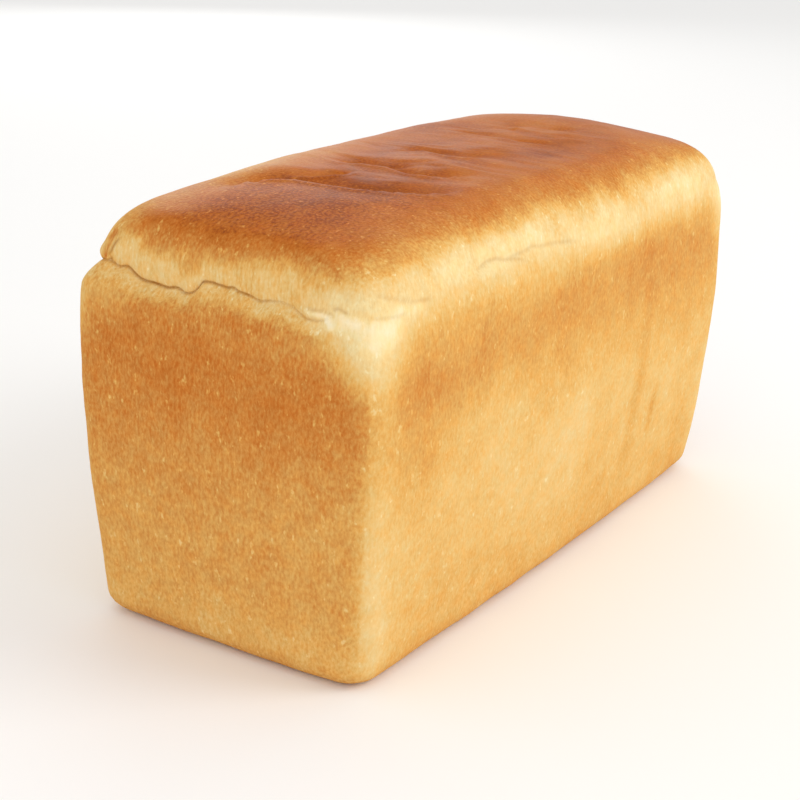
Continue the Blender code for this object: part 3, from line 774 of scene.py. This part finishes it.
crust = {
    "colours": ((0.0, "F8E6BE"), (0.1, "EFD59B"), (0.2, "E7C587"), (0.32, "E3B870"), (0.44, "DCA75A"),
                (0.54, "D2964D"), (0.64, "C9833D"), (0.74, "C0722E"), (0.84, "B66420"), (0.92, "A5551B"),
                (1.0, "8C4417")),
    # painted shade: the colour of the crease lines at the break and of the short folds
    "creaseShadeColour": "A4661F",
    "grain": 0.25, "streak": 0.24, "fleck": 0.2, "fromCream": 3.0,
    "grainNoise": {"size": 0.9, "stretch": 1.8, "low": 0.25, "high": 0.75},
    "streakNoise": {"size": 1.0, "stretch": 6.0, "low": 0.25, "high": 0.75, "offset": 0.3},
    "fleckNoise": {"size": 2.0, "stretch": 1.6, "low": 0.64, "high": 0.72, "offset": 0.7},
    "hueNoise": {"size": 4.0, "low": 0.3, "high": 0.7, "offset": 1.3},
    "olive": (0.97, 1.03, 1.11, 1.0), "reddish": (1.03, 0.97, 0.88, 1.0),
    "wallRoughness": 0.8, "skinRoughness": 0.4, "specular": 0.05, "bump": 0.0003, "bumpStrength": 0.6,
}


# soft patches where the crust is redder or more olive, a few millimetres wide
def hueShift(tree, group, colour):
    wide = speckle(tree, group, crust["hueNoise"])
    tint = addNode(tree, "ShaderNodeMix", data_type="RGBA")
    tint.inputs["A"].default_value = crust["olive"]
    tint.inputs["B"].default_value = crust["reddish"]
    tree.links.new(wide.outputs["Mask"], tint.inputs["Factor"])
    shifted = addNode(tree, "ShaderNodeMix", {"Factor": 1.0}, data_type="RGBA", blend_type="MULTIPLY")
    tree.links.new(colour, shifted.inputs["A"])
    tree.links.new(tint.outputs["Result"], shifted.inputs["B"])
    return shifted.outputs["Result"]


def crustMaterial():
    material = bpy.data.materials.new("bakedCrust")
    material.use_nodes = True
    tree = material.node_tree
    links = tree.links
    shader = tree.nodes["Principled BSDF"]
    group = speckleGroup()
    attribute = {key: addNode(tree, "ShaderNodeAttribute", attribute_name=key).outputs["Fac"]
                 for key in ("bake", "creaseShade", "skin", "stretch", "grainy")}

    grain = speckle(tree, group, crust["grainNoise"])
    streak = speckle(tree, group, crust["streakNoise"])
    fleck = speckle(tree, group, crust["fleckNoise"])

    # the grain is darker and paler crust, faint on cream, and the flecks are pale
    centred = mathNode(tree, "SUBTRACT", grain.outputs["Mask"], 0.5)
    pulled = mathNode(tree, "SUBTRACT", streak.outputs["Mask"], 0.5)
    pulled = mathNode(tree, "MULTIPLY", pulled, attribute["stretch"])
    texture = mathNode(tree, "MULTIPLY", centred, crust["grain"])
    texture = mathNode(tree, "ADD", texture, mathNode(tree, "MULTIPLY", pulled, crust["streak"]))
    pale = mathNode(tree, "MULTIPLY", fleck.outputs["Mask"], crust["fleck"])
    texture = mathNode(tree, "SUBTRACT", texture, pale)
    strength = mathNode(tree, "MULTIPLY", attribute["bake"], crust["fromCream"], clamp=True)
    strength = mathNode(tree, "MULTIPLY", strength, attribute["grainy"])
    amount = mathNode(tree, "ADD", attribute["bake"], mathNode(tree, "MULTIPLY", texture, strength))

    ramp = addNode(tree, "ShaderNodeValToRGB")
    ramp.color_ramp.interpolation = "LINEAR"
    stops = ramp.color_ramp.elements
    while len(stops) > 1:
        stops.remove(stops[-1])
    stops[0].position, stops[0].color = crust["colours"][0][0], srgb(crust["colours"][0][1])
    for position, colour in crust["colours"][1:]:
        stops.new(position).color = srgb(colour)
    links.new(amount, ramp.inputs[0])
    # painted crease shade: the crease shade colour mixed over the crust where the creaseShade attribute
    # is set
    creaseShaded = addNode(tree, "ShaderNodeMix", data_type="RGBA")
    creaseShaded.inputs["B"].default_value = srgb(crust["creaseShadeColour"])
    links.new(attribute["creaseShade"], creaseShaded.inputs["Factor"])
    links.new(hueShift(tree, group, ramp.outputs[0]), creaseShaded.inputs["A"])
    links.new(creaseShaded.outputs["Result"], shader.inputs["Base Color"])

    gloss = addNode(tree, "ShaderNodeMapRange")
    gloss.inputs["To Min"].default_value = crust["wallRoughness"]
    gloss.inputs["To Max"].default_value = crust["skinRoughness"]
    shader.inputs["Specular IOR Level"].default_value = crust["specular"]
    links.new(attribute["skin"], gloss.inputs["Value"])
    links.new(gloss.outputs[0], shader.inputs["Roughness"])
    bump = addNode(tree, "ShaderNodeBump", {"Strength": crust["bumpStrength"], "Distance": crust["bump"]})
    links.new(mathNode(tree, "ADD", grain.outputs["Raw"], pulled), bump.inputs["Height"])
    links.new(bump.outputs[0], shader.inputs["Normal"])
    return material


loaf = buildLoaf()
loaf.data.materials.append(crustMaterial())
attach(loaf, "root")
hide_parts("loaf")
print("loaf:", len(loaf.data.polygons), "faces")


# floor, lights and camera; metres
stage = {
    "size": 8.0, "floor": "FAF9F7", "floorRoughness": 0.8, "world": 0.85, "lightAim": (0, 0, 0.06),
    "key": {"place": (0.55, -1.25, 0.95), "size": 0.9, "power": 8.1},
    "fill": {"place": (-1.3, -0.5, 0.7), "size": 1.2, "power": 3},
    "rim": {"place": (1.15, 1.05, 0.55), "size": 0.8, "power": 1.8},
}


def buildStage():
    half = stage["size"] / 2
    floor = meshObject("floor", [(-half, -half, 0), (half, -half, 0), (half, half, 0), (-half, half, 0)],
                       [(0, 1, 2, 3)], {})
    paint = bpy.data.materials.new("paleFloor")
    paint.use_nodes = True
    shader = paint.node_tree.nodes["Principled BSDF"]
    shader.inputs["Base Color"].default_value = srgb(stage["floor"])
    shader.inputs["Roughness"].default_value = stage["floorRoughness"]
    floor.data.materials.append(paint)
    world = bpy.data.worlds.new("studio")
    world.use_nodes = True
    background = world.node_tree.nodes["Background"]
    background.inputs["Color"].default_value = (1, 1, 1, 1)
    background.inputs["Strength"].default_value = stage["world"]
    bpy.context.scene.world = world
    for name in ("key", "fill", "rim"):
        spec = stage[name]
        light = bpy.data.lights.new(name, "AREA")
        light.shape, light.size, light.energy = "DISK", spec["size"], spec["power"]
        lamp = bpy.data.objects.new(name, light)
        lamp.location = spec["place"]
        aim = Vector(stage["lightAim"]) - Vector(spec["place"])
        lamp.rotation_euler = aim.to_track_quat("-Z", "Y").to_euler()
        bpy.context.scene.collection.objects.link(lamp)


# where the camera stands: degrees, metres and the lens in millimetres
view = {
    "azimuth": -58.3, "elevation": 18.9, "roll": 2.2, "distance": 0.5587,
    "aim": (-0.0097, 0.0076, 0.0476), "lens": 74.8,
}


def buildCamera():
    azimuth, elevation, roll = (math.radians(view[key]) for key in ("azimuth", "elevation", "roll"))
    back = Vector((math.sin(azimuth) * math.cos(elevation), -math.cos(azimuth) * math.cos(elevation),
                   math.sin(elevation)))
    level = Vector((math.cos(azimuth), math.sin(azimuth), 0))
    upright = back.cross(level)
    right = math.cos(roll) * level + math.sin(roll) * upright
    up = math.cos(roll) * upright - math.sin(roll) * level
    camera = bpy.data.objects.new("camera", bpy.data.cameras.new("camera"))
    camera.data.lens = view["lens"]
    camera.matrix_world = (Matrix.Translation(Vector(view["aim"]) + back * view["distance"])
                           @ Matrix((right, up, back)).transposed().to_4x4())
    bpy.context.scene.collection.objects.link(camera)
    bpy.context.scene.camera = camera


buildStage()
buildCamera()
bpy.context.scene.view_settings.view_transform = "Standard"
print("stage and camera set")
